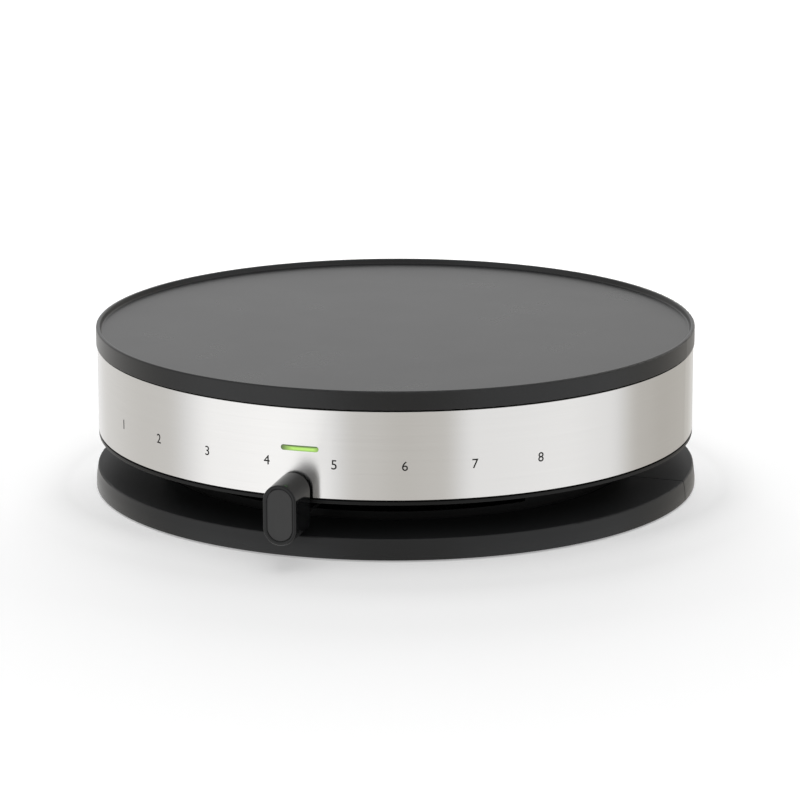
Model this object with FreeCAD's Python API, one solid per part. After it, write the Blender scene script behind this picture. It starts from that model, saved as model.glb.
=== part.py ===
import FreeCAD, Part
import math
import os

os.makedirs("parts", exist_ok=True)

Vec = FreeCAD.Vector
UP = Vec(0, 0, 1)
BACK = Vec(0, 1, 0)

# Electric crepe maker. Millimetres, +Z up. The origin is on the axis of the round cooking
# plate, at the worktop. The front, where the temperature knob stands, faces -Y.

# The stack of layers, from the worktop up
foot_height = 1.2
base_height = 13.1
recess_height = 19.9
floor_thickness = 2.3
band_shadow_gap = 1.1
band_height = 53.9
plate_shadow_gap = 0.8
plate_side_height = 11.7

# Cooking plate
plate_diameter = 380.0
plate_rim_width = 2.4
plate_rim_slope = 1.0
plate_rim_depth = 3.0
plate_thickness = 6.0
plate_skirt_width = 4.0
plate_edge_round = 1.0
plate_boss_diameter = 15.0
plate_boss_height = 5.0

# Heating elements: two tubes, one loop each, side by side under the plate
element_diameter = 7.0
outer_loop_radius = 148.0
inner_loop_radius = 92.0
outer_tail_offset = 12.0
inner_tail_offset = 30.0
tail_bend_radius = 14.0
tail_end_y = 62.0
terminal_pin_diameter = 3.0
terminal_pin_length = 4.0
terminal_bar_thickness = 0.8
terminal_bar_height = 6.0
terminal_tab_width = 10.0
terminal_tab_length = 9.0

# Straps that hold the elements up against the plate
clamp_thickness = 1.5
clamp_width = 12.0
clamp_length = 28.0
clamp_boss_offset = 14.0
clamp_boss_diameter = 10.0
outer_clamp_angles = (0.0, 70.0, 110.0, 180.0, 235.0, 305.0)
inner_clamp_angles = (20.0, 160.0, 225.0, 315.0)

# Posts between the housing floor and the plate
post_circle_radius = 122.0
post_angles = (45.0, 135.0, 225.0, 315.0)
post_lower_diameter = 14.0
post_upper_diameter = 9.0
post_seat_height = 7.5
post_screw_diameter = 4.0
post_screw_grip = 7.0

# Heat reflector
reflector_setback = 17.1
reflector_thickness = 0.8
reflector_height = 33.0
reflector_opening_radius = 52.0
reflector_notch_depth = 74.0
reflector_flange = 6.0

# Brushed steel band, set back a little from the plate's edge and turned in at its top
band_setback = 0.7
band_wall = 0.8
band_flange_width = 3.0
band_stand_off = 0.9

# Lower housing
housing_wall = 2.5
lip_round = 0.7

# Indicator
lens_width = 23.4
lens_height = 3.2
lens_centre_height = 29.7
lens_proud = 0.15
lens_flange_overlap = 1.8
lens_flange_thickness = 1.8
lamp_diameter = 5.5
lamp_length = 16.0
holder_depth = 11.0
holder_wall = 2.0
peg_width = 2.0
peg_depth = 3.0
shelf_thickness = 1.6

# Pedestal between the housing and the base
recess_depth = 43.0
pedestal_wall = 2.5
pedestal_boss_diameter = 9.0
pedestal_boss_bite = 1.0
pedestal_boss_angles = (-28.0, 38.0, 65.0, 115.0, 142.0, 208.0)
slot_half_angle = 49.5
slot_sill = 5.0

# Mains inlet
cord_bore_diameter = 7.4
gland_body_diameter = 12.0
gland_flange_diameter = 16.0
gland_flange_thickness = 2.0
gland_height = 10.5
gland_pad_width = 22.0
gland_pad_proud = 0.7
gland_pad_depth = 5.0

# Base and drawer; the base stands out a little past the plate
base_overhang = 1.5
base_draft = 1.3
base_belly_height = 5.0
base_belly_round = 40.0
base_wall = 2.5
base_top_wall = 1.8
base_slope_width = 26.5
base_rim_fall = 0.3
base_edge_round = 1.0
seam_offset = -4.5
deck_margin = 1.0
rail_thickness = 4.0
rail_inset = 65.5
rail_screw_gap = 4.0
rail_end_gap = 1.0
base_boss_diameter = 8.0
side_boss_ys = (-45.0, 30.0)
side_boss_gap = 2.0
rear_boss_inset = 14.5
rear_boss_angles = (40.0, 70.0)
bottom_plate_thickness = 1.8
drawer_wall_room = 4.5
foot_ring_inset = 23.5
foot_ring_width = 8.0
foot_ring_seat = 0.8

# Utensil drawer
drawer_travel = 120.0
tray_floor_gap = 0.2
tray_floor_thickness = 1.4
tray_wall = 1.4
tray_wall_height = 5.9
tray_back_gap = 2.0
tray_ear_width = 1.4
tray_ear_length = 4.0
runner_inset = 20.0
runner_width = 8.0
runner_thickness = 0.8
runner_end_gap = 4.0
runner_back_gap = 12.0
drawer_boss_diameter = 8.0
drawer_boss_inset = 11.5
drawer_boss_angles = (-120.0, -90.0, -60.0)

# Thermostat and its spindle
thermostat_diameter = 36.0
thermostat_height = 22.0
bracket_length = 68.0
bracket_width = 14.0
bracket_thickness = 1.2
bracket_screw_offset = 27.0
thermostat_screw_offset = 12.5
sensor_diameter = 18.0
thermostat_tab_length = 10.0
thermostat_tab_width = 6.3
thermostat_tab_drop = 11.0
spindle_diameter = 6.0
spindle_flat = 1.0
spindle_seat_depth = 13.0
bush_diameter = 12.0
bush_flange_diameter = 16.0
bush_flange_thickness = 1.0
bush_length = 6.5
clip_thickness = 1.0
clip_diameter = 11.0

# Temperature lever
hub_diameter = 36.0
hub_height = 10.0
hub_gap = 0.5
arm_width = 14.0
arm_thickness = 2.0
arm_start = 5.0
arm_screw_offset = 11.0
arm_depth_in_knob = 19.5
knob_width = 20.7
knob_height = 36.7
knob_root_rise = 1.5
knob_length = 24.8
knob_gap = 3.0
knob_base_gap = 0.4
knob_border = 2.4
knob_edge_round = 0.9
knob_inner_chamfer = 0.6
knob_panel_thickness = 2.0
knob_panel_recess = 0.7
knob_panel_round = 0.3
knob_screw_offset = 15.5
# The lever stands this far round from the middle of the scale, in degrees
lever_rest_turn = -0.9

# Terminal block, cord clamp, thermal fuse, earth
block_length = 40.0
block_depth = 18.0
block_height = 16.0
block_to_clamp = 7.0
pole_pitch = 13.0
pole_height = 8.3
pole_bore = 3.4
clamp_to_floor_hole = 10.0
cord_clamp_depth = 8.0
cord_clamp_length = 32.0
cord_clamp_height = 9.0
cord_clamp_screw_offset = 12.0
floor_hole_inset = 15.0
floor_hole_diameter = 10.0
fuse_x = 45.0
fuse_front = 20.0
fuse_length = 14.0
fuse_diameter = 4.0
fuse_sleeve_wall = 1.0
fuse_clip_width = 8.0
earth_x = -44.0
earth_y = 60.0
lead_diameter = 2.8
lamp_lead_diameter = 1.8
lead_exit = 14.0
fuse_lead_exit = 22.0
block_lead_rise = 17.0
bend_share = 0.45
# Places along the leads, chosen by hand, as distances from their ends
live_lead_way = (5.0, 28.0)
thermostat_lead_way = (15.0, 27.0, 14.0)
switched_lead_way = (5.0, 4.0, 26.0)
neutral_lead_rise = 11.0
earth_lead_way = (5.0, 6.0, 13.0)
lamp_lead_exit = 9.0
lamp_lead_way = ((2.0, 12.0, 14.0), (3.0, 40.0, 0.0), (9.0, 95.0, 0.0), (4.0, 150.0, 0.0), (11.0, 195.0, 0.0))
lamp_lead_end = (4.0, 3.0, 12.0)

# Screws
screw_diameter = 3.0
screw_head_diameter = 5.6
screw_head_height = 2.0
flat_head_height = 1.3
post_head_diameter = 8.0
post_head_height = 3.0
cross_reach_ratio = 0.6
cross_depth_ratio = 0.6
cross_blade_ratio = 0.2

# Clearances
screw_clearance = 0.05
turning_clearance = 0.05
fit_gap = 0.1
contact_gap = 0.05
slip_gap = 0.3
seam_gap = 0.8
cut_margin = 2.0

# Heights worked out from the stack
base_bottom_z = foot_height
base_top_z = base_bottom_z + base_height
deck_under_z = base_top_z - base_top_wall
floor_under_z = base_top_z + recess_height
floor_top_z = floor_under_z + floor_thickness
band_bottom_z = floor_top_z + band_shadow_gap
band_top_z = band_bottom_z + band_height
plate_bottom_z = band_top_z + plate_shadow_gap
plate_top_z = plate_bottom_z + plate_side_height
cooking_z = plate_top_z - plate_rim_depth
plate_under_z = cooking_z - plate_thickness
element_z = plate_under_z - contact_gap - element_diameter / 2
element_low_z = element_z - element_diameter / 2 - contact_gap
post_seat_z = floor_top_z + post_seat_height
post_top_z = plate_under_z - plate_boss_height
reflector_z = floor_top_z + reflector_height
lens_z = band_bottom_z + lens_centre_height
bracket_z = post_top_z - bracket_thickness
thermostat_low_z = bracket_z - thermostat_height
hub_top_z = floor_under_z - bush_flange_thickness - hub_gap
hub_low_z = hub_top_z - hub_height
arm_z = hub_low_z + (hub_height - arm_thickness) / 2
bottom_plate_z = base_bottom_z + bottom_plate_thickness
runner_z = bottom_plate_z + runner_thickness
tray_z = runner_z + tray_floor_gap
tray_floor_z = tray_z + tray_floor_thickness
tray_top_z = tray_z + tray_wall_height
knob_low_z = base_top_z + knob_base_gap
knob_z = knob_low_z + knob_height / 2
gland_z = base_top_z + gland_height

# Radii worked out from the diameters
plate_radius = plate_diameter / 2
band_radius = plate_radius - band_setback
band_inner = band_radius - band_wall
housing_outer = band_inner - band_stand_off
housing_inner = housing_outer - housing_wall
reflector_radius = housing_inner - reflector_setback
base_radius = plate_radius + base_overhang
base_top_radius = base_radius - base_draft
base_inner = base_top_radius - base_wall
base_shoulder_radius = base_radius - base_slope_width
pedestal_radius = base_radius - recess_depth
pedestal_boss_radius = pedestal_radius - pedestal_wall - pedestal_boss_diameter / 2 + pedestal_boss_bite
deck_radius = pedestal_radius + deck_margin
bottom_plate_front_radius = base_inner - drawer_wall_room
foot_ring_radius = base_radius - foot_ring_inset
knob_root = band_radius + knob_gap
knob_face = knob_root + knob_length

# Places worked out from the radii
rail_offset = base_radius - rail_inset
rail_front = pedestal_boss_radius * math.sin(math.radians(pedestal_boss_angles[0])) \
    + screw_head_diameter / 2 + rail_screw_gap
rail_back = math.sqrt((base_inner - rail_end_gap) ** 2 - (rail_offset + rail_thickness) ** 2)
tray_half = rail_offset - tray_ear_width - 2 * slip_gap
tray_back = rail_back - tray_back_gap
runner_offset = tray_half - runner_inset
runner_side = runner_offset + runner_width / 2
runner_front = -math.sqrt((bottom_plate_front_radius - runner_end_gap) ** 2 - runner_side ** 2)
runner_back = tray_back - runner_back_gap
drawer_boss_radius = base_radius - drawer_boss_inset
floor_hole_y = pedestal_radius - pedestal_wall - floor_hole_inset
cord_clamp_front = floor_hole_y - clamp_to_floor_hole - cord_clamp_depth
block_front = cord_clamp_front - block_to_clamp - block_depth


def disc(radius, z0, z1, x=0.0, y=0.0):
    return Part.makeCylinder(radius, z1 - z0, Vec(x, y, z0))


def rod(radius, start, end):
    return Part.makeCylinder(radius, (end - start).Length, start, end - start)


def ring(inner, outer, z0, z1, x=0.0, y=0.0):
    return disc(outer, z0, z1, x, y).cut(disc(inner, z0, z1, x, y))


def block(x0, x1, y0, y1, z0, z1):
    return Part.makeBox(x1 - x0, y1 - y0, z1 - z0, Vec(x0, y0, z0))


def polar(radius, degrees, z=0.0):
    angle = math.radians(degrees)
    return Vec(radius * math.cos(angle), radius * math.sin(angle), z)


def edges_at(shape, y):
    """The edges that lie in the upright plane at y."""
    return [e for e in shape.Edges if all(abs(v.Point.y - y) < 1e-6 for v in e.Vertexes)]


def turned_about(shape, degrees):
    copy = shape.copy()
    copy.rotate(Vec(0, 0, 0), UP, degrees)
    return copy


def eased_edges(corners, closed):
    """Edges through the corners, given as (point, radius), each corner eased by a tangent arc."""
    count = len(corners)
    starts = []
    ends = []
    arcs = []
    for i, (corner, radius) in enumerate(corners):
        if radius <= 0 or (not closed and i in (0, count - 1)):
            starts.append(corner)
            ends.append(corner)
            arcs.append(None)
            continue
        arrive = (corner - corners[i - 1][0]).normalize()
        leave = (corners[(i + 1) % count][0] - corner).normalize()
        half_turn = arrive.getAngle(leave) / 2
        reach = radius * math.tan(half_turn)
        inward = (leave - arrive).normalize()
        middle = corner + inward * (radius / math.cos(half_turn) - radius)
        starts.append(corner - arrive * reach)
        ends.append(corner + leave * reach)
        arcs.append(Part.Arc(starts[-1], middle, ends[-1]).toShape())
    edges = []
    for i in range(count):
        if arcs[i]:
            edges.append(arcs[i])
        following = (i + 1) % count
        if (closed or following) and (starts[following] - ends[i]).Length > 1e-6:
            edges.append(Part.makeLine(ends[i], starts[following]))
    return edges


def lathe(profile):
    """A solid turned about the axis from a closed outline of (radius, height, corner radius)."""
    corners = [(Vec(r, 0, z), ease) for r, z, ease in profile]
    face = Part.Face(Part.Wire(eased_edges(corners, True)))
    return face.revolve(Vec(0, 0, 0), UP, 360)


def pipe(edges, radius):
    path = Part.Wire(edges)
    first = edges[0]
    start = first.valueAt(first.FirstParameter)
    heading = first.tangentAt(first.FirstParameter)
    circle = Part.Wire(Part.makeCircle(radius, start, heading))
    return path.makePipeShell([circle], True, False)


def lead(points, diameter, name):
    """An insulated lead along straight runs, with an arc at each bend as large as its runs allow."""
    corners = [(points[0], 0.0)]
    radii = []
    for before, here, after in zip(points, points[1:], points[2:]):
        arrive = here - before
        leave = after - here
        half_turn = arrive.getAngle(leave) / 2
        radius = bend_share * min(arrive.Length, leave.Length) / math.tan(half_turn)
        radii.append(round(radius, 1))
        corners.append((here, radius))
    corners.append((points[-1], 0.0))
    tube = pipe(eased_edges(corners, False), diameter / 2)
    length = sum(edge.Length for edge in eased_edges(corners, False))
    section = math.pi * diameter * diameter / 4
    print(name, "bend radii", radii, "length", round(length, 1),
          "volume over section times length", round(tube.Volume / section / length, 4))
    return tube


def obround(width, height, y, z):
    """A wire in the plane at the given y: straight sides with a half round at top and bottom."""
    r = width / 2
    straight = height / 2 - r
    edges = [
        Part.makeLine(Vec(r, y, z - straight), Vec(r, y, z + straight)),
        Part.Arc(Vec(r, y, z + straight), Vec(0, y, z + straight + r), Vec(-r, y, z + straight)).toShape(),
        Part.makeLine(Vec(-r, y, z + straight), Vec(-r, y, z - straight)),
        Part.Arc(Vec(-r, y, z - straight), Vec(0, y, z - straight - r), Vec(r, y, z - straight)).toShape(),
    ]
    return Part.Wire(edges)


def lying_obround(width, height, y, z):
    """The same, lying on its side: straight top and bottom with half round ends."""
    wire = obround(height, width, y, z)
    wire.rotate(Vec(0, y, z), BACK, 90)
    return wire


def prism(wire, length):
    """The solid that the wire's face fills on its way along +Y."""
    return Part.Face(wire).extrude(BACK * length)


def cross_recess(x, y, z_face, into, reach, depth):
    z0 = min(z_face, z_face + into * depth)
    blade = reach * cross_blade_ratio
    across = block(x - reach / 2, x + reach / 2, y - blade / 2, y + blade / 2, z0, z0 + depth)
    return across.fuse(block(x - blade / 2, x + blade / 2, y - reach / 2, y + reach / 2, z0, z0 + depth))


def pan_screw(x, y, seat_z, tip_z, diameter=screw_diameter, head=screw_head_diameter,
              head_height=screw_head_height):
    """A screw whose head bears on seat_z and whose shank runs to tip_z, above or below it."""
    into = 1 if tip_z > seat_z else -1
    shank = disc(diameter / 2, min(seat_z, tip_z), max(seat_z, tip_z), x, y)
    face_z = seat_z - into * head_height
    cap = disc(head / 2, min(seat_z, face_z), max(seat_z, face_z), x, y)
    return cap.fuse(shank).cut(cross_recess(x, y, face_z, into, head * cross_reach_ratio,
                                            head_height * cross_depth_ratio))


def flat_screw(x, y, face_z, tip_z):
    """A countersunk screw that points up, its head flush with face_z."""
    cone = Part.makeCone(screw_head_diameter / 2, screw_diameter / 2, flat_head_height, Vec(x, y, face_z))
    shank = disc(screw_diameter / 2, face_z + flat_head_height, tip_z, x, y)
    return cone.fuse(shank).cut(cross_recess(x, y, face_z, 1, screw_head_diameter * cross_reach_ratio,
                                             flat_head_height * cross_depth_ratio))


def flat_screw_seat(x, y, face_z, tip_z):
    """The room that a countersunk screw needs."""
    cone = Part.makeCone(screw_head_diameter / 2 + screw_clearance, screw_diameter / 2 + screw_clearance,
                         flat_head_height, Vec(x, y, face_z))
    return cone.fuse(screw_hole(x, y, face_z, tip_z))


def screw_hole(x, y, z0, z1, diameter=screw_diameter):
    return disc(diameter / 2 + screw_clearance, z0, z1, x, y)


def mirrored_places(places):
    return [(side * x, y) for x, y in places for side in (-1, 1)]


def clamp_places():
    outer = [(outer_loop_radius, angle) for angle in outer_clamp_angles]
    inner = [(inner_loop_radius, angle) for angle in inner_clamp_angles]
    return outer + inner


def clamp_boss_centre(loop_radius, angle):
    return polar(loop_radius - clamp_boss_offset, angle)


def post_centres():
    return [polar(post_circle_radius, angle) for angle in post_angles]


def pedestal_boss_centres():
    return [polar(pedestal_boss_radius, angle) for angle in pedestal_boss_angles]


def base_boss_places():
    """Beside the rails in front, and near the rim behind, on both sides."""
    side_x = rail_offset + rail_thickness + base_boss_diameter / 2 + side_boss_gap
    places = [(side_x, y) for y in side_boss_ys]
    rear = [polar(base_radius - rear_boss_inset, angle) for angle in rear_boss_angles]
    return mirrored_places(places + [(c.x, c.y) for c in rear])


def bracket_screw_ys():
    return (-bracket_screw_offset, bracket_screw_offset)


def cooking_plate():
    """Cast disc with a low rim above, a short skirt below and the bosses that hold what it carries."""
    rim_in = plate_radius - plate_rim_width
    shape = lathe([
        (0, plate_under_z, 0),
        (plate_radius - plate_skirt_width, plate_under_z, 0),
        (plate_radius - plate_skirt_width, plate_bottom_z, 0),
        (plate_radius, plate_bottom_z, plate_edge_round / 2),
        (plate_radius, plate_top_z, plate_edge_round),
        (rim_in, plate_top_z, plate_edge_round),
        (rim_in - plate_rim_slope, cooking_z, plate_edge_round),
        (0, cooking_z, 0),
    ])
    bosses = []
    holes = []
    for centre in post_centres():
        bosses.append(disc(plate_boss_diameter / 2, post_top_z, plate_under_z, centre.x, centre.y))
        holes.append(screw_hole(centre.x, centre.y, post_top_z, post_top_z + post_screw_grip,
                                post_screw_diameter))
    for loop_radius, angle in clamp_places():
        centre = clamp_boss_centre(loop_radius, angle)
        bosses.append(disc(clamp_boss_diameter / 2, element_low_z, plate_under_z, centre.x, centre.y))
        holes.append(screw_hole(centre.x, centre.y, element_low_z, plate_under_z))
    for y in bracket_screw_ys():
        bosses.append(disc(clamp_boss_diameter / 2, post_top_z, plate_under_z, 0, y))
        holes.append(screw_hole(0, y, post_top_z, plate_under_z))
    for x, y in ((earth_x, earth_y), fuse_boss_centre()):
        bosses.append(disc(clamp_boss_diameter / 2, post_top_z, plate_under_z, x, y))
        holes.append(screw_hole(x, y, post_top_z, plate_under_z))
    return shape.fuse(bosses).cut(holes)


def element_loop(loop_radius, tail_offset):
    """One tube: a straight tail, a bend, the loop round the axis, a bend and the other tail."""
    bend = tail_bend_radius
    centre_x = tail_offset + bend
    centre_y = math.sqrt((loop_radius - bend) ** 2 - centre_x ** 2)
    outward = Vec(centre_x, centre_y, 0).normalize()
    middle = (math.pi + math.atan2(outward.y, outward.x)) / 2
    edges = []
    for side in (-1, 1):
        tail_top = Vec(side * tail_offset, centre_y, element_z)
        touch = Vec(side * outward.x * loop_radius, outward.y * loop_radius, element_z)
        bend_middle = Vec(side * (centre_x + bend * math.cos(middle)),
                          centre_y + bend * math.sin(middle), element_z)
        tail = Part.makeLine(Vec(side * tail_offset, tail_end_y, element_z), tail_top)
        corner = Part.Arc(tail_top, bend_middle, touch).toShape()
        edges.append((tail, corner, touch))
    left, right = edges
    loop = Part.Arc(left[2], Vec(0, -loop_radius, element_z), right[2]).toShape()
    path = [left[0], left[1], loop, right[1], right[0]]
    circle = Part.Wire(Part.makeCircle(element_diameter / 2, Vec(-tail_offset, tail_end_y, element_z), BACK))
    return Part.Wire(path).makePipeShell([circle], True, False)


def heating_elements():
    return [element_loop(outer_loop_radius, outer_tail_offset),
            element_loop(inner_loop_radius, inner_tail_offset)]


def terminal_bar_y():
    return tail_end_y - terminal_pin_length


def terminal_tab_x():
    return (outer_tail_offset + inner_tail_offset) / 2


def terminal_tab_end_z():
    return element_z + terminal_bar_height / 2 - terminal_bar_height - terminal_tab_length


def terminal_bars():
    """Each bar joins an inner and an outer tail, and has a tab that hangs down for the leads."""
    bars = []
    bar_y = terminal_bar_y()
    top_z = element_z + terminal_bar_height / 2
    low_z = top_z - terminal_bar_height
    reach = terminal_pin_diameter
    for side in (-1, 1):
        ends = sorted((side * (outer_tail_offset - reach), side * (inner_tail_offset + reach)))
        bar = block(ends[0], ends[1], bar_y - terminal_bar_thickness, bar_y, low_z, top_z)
        tab_x = side * terminal_tab_x()
        tab = block(tab_x - terminal_tab_width / 2, tab_x + terminal_tab_width / 2,
                    bar_y - terminal_bar_thickness, bar_y, terminal_tab_end_z(), low_z)
        pins = [rod(terminal_pin_diameter / 2,
                    Vec(side * x, bar_y, element_z), Vec(side * x, tail_end_y, element_z))
                for x in (outer_tail_offset, inner_tail_offset)]
        bars.append(bar.fuse([tab] + pins))
    return bars


def element_clamps():
    clamps = []
    for loop_radius, angle in clamp_places():
        hole_at = loop_radius - clamp_boss_offset
        start = hole_at - clamp_boss_diameter / 2
        strap = block(start, start + clamp_length, -clamp_width / 2, clamp_width / 2,
                      element_low_z - clamp_thickness, element_low_z)
        strap = strap.cut(screw_hole(hole_at, 0, element_low_z - clamp_thickness, element_low_z))
        clamps.append(turned_about(strap, angle))
    return clamps


def clamp_screws():
    screws = []
    for loop_radius, angle in clamp_places():
        centre = clamp_boss_centre(loop_radius, angle)
        screws.append(pan_screw(centre.x, centre.y, element_low_z - clamp_thickness,
                                plate_under_z - contact_gap))
    return screws


def plate_posts():
    """Stepped sleeves from the housing floor to the plate; the reflector lies on their steps."""
    posts = []
    for centre in post_centres():
        lower = disc(post_lower_diameter / 2, post_seat_z, reflector_z, centre.x, centre.y)
        upper = disc(post_upper_diameter / 2, reflector_z, post_top_z, centre.x, centre.y)
        bore = screw_hole(centre.x, centre.y, post_seat_z, post_top_z, post_screw_diameter)
        posts.append(lower.fuse(upper).cut(bore))
    return posts


def post_head_seat_z():
    return floor_under_z + post_head_height + contact_gap


def plate_screws():
    return [pan_screw(c.x, c.y, post_head_seat_z(), post_top_z + post_screw_grip - slip_gap,
                      post_screw_diameter, post_head_diameter, post_head_height)
            for c in post_centres()]


def reflector_keyhole(z0, z1):
    """The opening in the middle: round, with a notch behind it for the terminals."""
    round_part = disc(reflector_opening_radius, z0, z1)
    notch = block(-reflector_opening_radius, reflector_opening_radius, 0, reflector_notch_depth, z0, z1)
    return round_part.fuse(notch)


def heat_reflector():
    """Polished disc with a turned-up edge, lying on the steps of the posts."""
    top = reflector_z + reflector_thickness
    shape = disc(reflector_radius, reflector_z, top)
    edge = ring(reflector_radius - reflector_thickness, reflector_radius, reflector_z, top + reflector_flange)
    shape = shape.fuse(edge)
    holes = [disc(post_upper_diameter / 2 + fit_gap, reflector_z, top, c.x, c.y) for c in post_centres()]
    return shape.cut(holes + [reflector_keyhole(reflector_z, top)])


def lens_window():
    """The obround cut through band and housing wall, in front."""
    outer = band_radius + cut_margin
    inner = housing_inner - cut_margin
    return prism(lying_obround(lens_width + 2 * fit_gap, lens_height + 2 * fit_gap, -outer, lens_z),
                 outer - inner)


def trim_band():
    """Thin brushed band that hangs on the housing wall by its turned-in top, with a window in front."""
    flange_inner = band_radius - band_flange_width
    shape = lathe([
        (flange_inner, band_top_z - band_wall, 0),
        (band_inner, band_top_z - band_wall, 0),
        (band_inner, band_bottom_z, 0),
        (band_radius, band_bottom_z, 0),
        (band_radius, band_top_z, band_wall / 2),
        (flange_inner, band_top_z, 0),
    ])
    return shape.cut(lens_window())


def lower_housing():
    """Floor, lip and inner wall. The band hangs on the wall's top and ends a little above the lip."""
    wall_top = band_top_z - band_wall - contact_gap
    shape = lathe([
        (0, floor_under_z, 0),
        (band_radius, floor_under_z, lip_round),
        (band_radius, floor_top_z, lip_round / 2),
        (housing_outer, floor_top_z, 0),
        (housing_outer, wall_top, 0),
        (housing_inner, wall_top, 0),
        (housing_inner, floor_top_z, 0),
        (0, floor_top_z, 0),
    ])
    additions = []
    holes = [lens_window()]
    for centre in post_centres():
        sleeve_radius = post_lower_diameter / 2 + housing_wall
        additions.append(disc(sleeve_radius, floor_top_z, post_seat_z, centre.x, centre.y))
        holes.append(screw_hole(centre.x, centre.y, floor_under_z, post_seat_z, post_screw_diameter))
        holes.append(disc(post_head_diameter / 2 + fit_gap, floor_under_z, post_head_seat_z(),
                          centre.x, centre.y))
    additions.append(disc(bush_diameter / 2 + housing_wall, floor_top_z, bush_top_z()))
    holes.append(disc(bush_diameter / 2 + contact_gap, floor_under_z, bush_top_z()))
    for x, y in floor_stud_places():
        additions.append(disc(base_boss_diameter / 2, floor_top_z, floor_top_z + floor_thickness, x, y))
        holes.append(screw_hole(x, y, floor_under_z, floor_top_z + floor_thickness))
    for c in pedestal_boss_centres():
        holes.append(screw_hole(c.x, c.y, floor_under_z, floor_top_z))
    holes.append(disc(floor_hole_diameter / 2, floor_under_z, floor_top_z, 0, floor_hole_y))
    shelves = []
    for z in (holder_low_z() - shelf_thickness, holder_high_z()):
        half = holder_half_length()
        shelf = block(-half, half, -housing_inner - housing_wall / 2, holder_back_y(), z, z + shelf_thickness)
        shelves.append(shelf.common(disc(housing_outer - contact_gap, z, z + shelf_thickness)))
    return shape.fuse(additions + shelves).cut(holes)


def bush_top_z():
    return floor_under_z + bush_length - bush_flange_thickness


def floor_stud_places():
    """Where screws go through the floor from above, for the terminal block and the cord clamp."""
    block_y = block_front + block_depth / 2
    clamp_y = cord_clamp_front + cord_clamp_depth / 2
    return [(-block_screw_x(), block_y), (block_screw_x(), block_y),
            (-cord_clamp_screw_offset, clamp_y), (cord_clamp_screw_offset, clamp_y)]


def block_screw_x():
    return pole_pitch / 2


def holder_half_length():
    return lens_width / 2 + lens_flange_overlap + holder_wall


def holder_low_z():
    return lens_z - lens_height / 2 - lens_flange_overlap - holder_wall


def holder_high_z():
    return lens_z + lens_height / 2 + lens_flange_overlap + holder_wall


def holder_front_y():
    """The holder stops short of the lens flange's back at its ends."""
    back = housing_inner - lens_flange_thickness - contact_gap
    return -math.sqrt(back ** 2 - holder_half_length() ** 2) + slip_gap


def holder_back_y():
    return holder_front_y() + holder_depth


def lamp_y():
    return (holder_front_y() + holder_back_y() - holder_wall) / 2


def indicator_lens():
    """Clear bar that fills the window, curved with the band, with a flange behind the wall."""
    front = band_radius + lens_proud
    bar = prism(lying_obround(lens_width, lens_height, -front - cut_margin, lens_z),
                front - housing_inner + 2 * cut_margin)
    bar = bar.common(ring(housing_inner - contact_gap, front, lens_z - lens_height, lens_z + lens_height))
    flange_back = housing_inner - lens_flange_thickness
    flange = prism(lying_obround(lens_width + 2 * lens_flange_overlap, lens_height + 2 * lens_flange_overlap,
                                 -housing_inner, lens_z), lens_flange_thickness + cut_margin)
    flange = flange.common(ring(flange_back, housing_inner - contact_gap, lens_z - lens_height * 2,
                                lens_z + lens_height * 2))
    return bar.fuse(flange).removeSplitter()


def lamp_holder():
    """Open-fronted box that slides between the two shelves behind the lens."""
    half = holder_half_length()
    shape = block(-half, half, holder_front_y(), holder_back_y(), holder_low_z() + contact_gap,
                  holder_high_z() - contact_gap)
    hollow = block(-half + holder_wall, half - holder_wall, holder_front_y(),
                   holder_back_y() - holder_wall, holder_low_z() + holder_wall / 2,
                   holder_high_z() - holder_wall / 2)
    exits = rod(lamp_lead_diameter / 2 + fit_gap, Vec(-half, lamp_y(), lens_z), Vec(half, lamp_y(), lens_z))
    pegs = []
    for side in (-1, 1):
        peg_x = side * lamp_length / 4
        pegs.append(block(peg_x - peg_width / 2, peg_x + peg_width / 2, lamp_y() - peg_depth / 2,
                          lamp_y() + peg_depth / 2, holder_low_z() + holder_wall / 2,
                          lens_z - lamp_diameter / 2 - contact_gap))
    return shape.cut([hollow, exits]).fuse(pegs)


def indicator_lamp():
    """Glass tube that lies behind the lens, drawn to a half round at one end."""
    r = lamp_diameter / 2
    tip = Vec(lamp_length / 2 - r, lamp_y(), lens_z)
    return rod(r, Vec(-lamp_length / 2, lamp_y(), lens_z), tip).fuse(Part.makeSphere(r, tip)).removeSplitter()


def pedestal_ring():
    """Round wall under the housing, open in front for the lever's arm, with a pad for the gland behind."""
    inner = pedestal_radius - pedestal_wall
    shape = ring(inner, pedestal_radius, base_top_z, floor_under_z)
    bosses = [disc(pedestal_boss_diameter / 2, base_top_z, floor_under_z, c.x, c.y)
              for c in pedestal_boss_centres()]
    pad_y = pedestal_radius + gland_pad_proud
    pad = block(-gland_pad_width / 2, gland_pad_width / 2, pad_y - gland_pad_depth, pad_y,
                base_top_z, floor_under_z)
    shape = shape.fuse(bosses + [pad])
    wedge_reach = pedestal_radius * 2
    slot_z0 = base_top_z + slot_sill
    height = floor_under_z - slot_z0
    wedge = Part.makeCylinder(wedge_reach, height, Vec(0, 0, slot_z0), UP, 2 * slot_half_angle)
    wedge.rotate(Vec(0, 0, 0), UP, -90 - slot_half_angle)
    holes = [screw_hole(c.x, c.y, base_top_z, floor_under_z) for c in pedestal_boss_centres()]
    gland_hole = rod(gland_body_diameter / 2 + contact_gap, Vec(0, pad_y - gland_pad_depth, gland_z),
                     Vec(0, pad_y, gland_z))
    return shape.cut([wedge, gland_hole] + holes)


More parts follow.
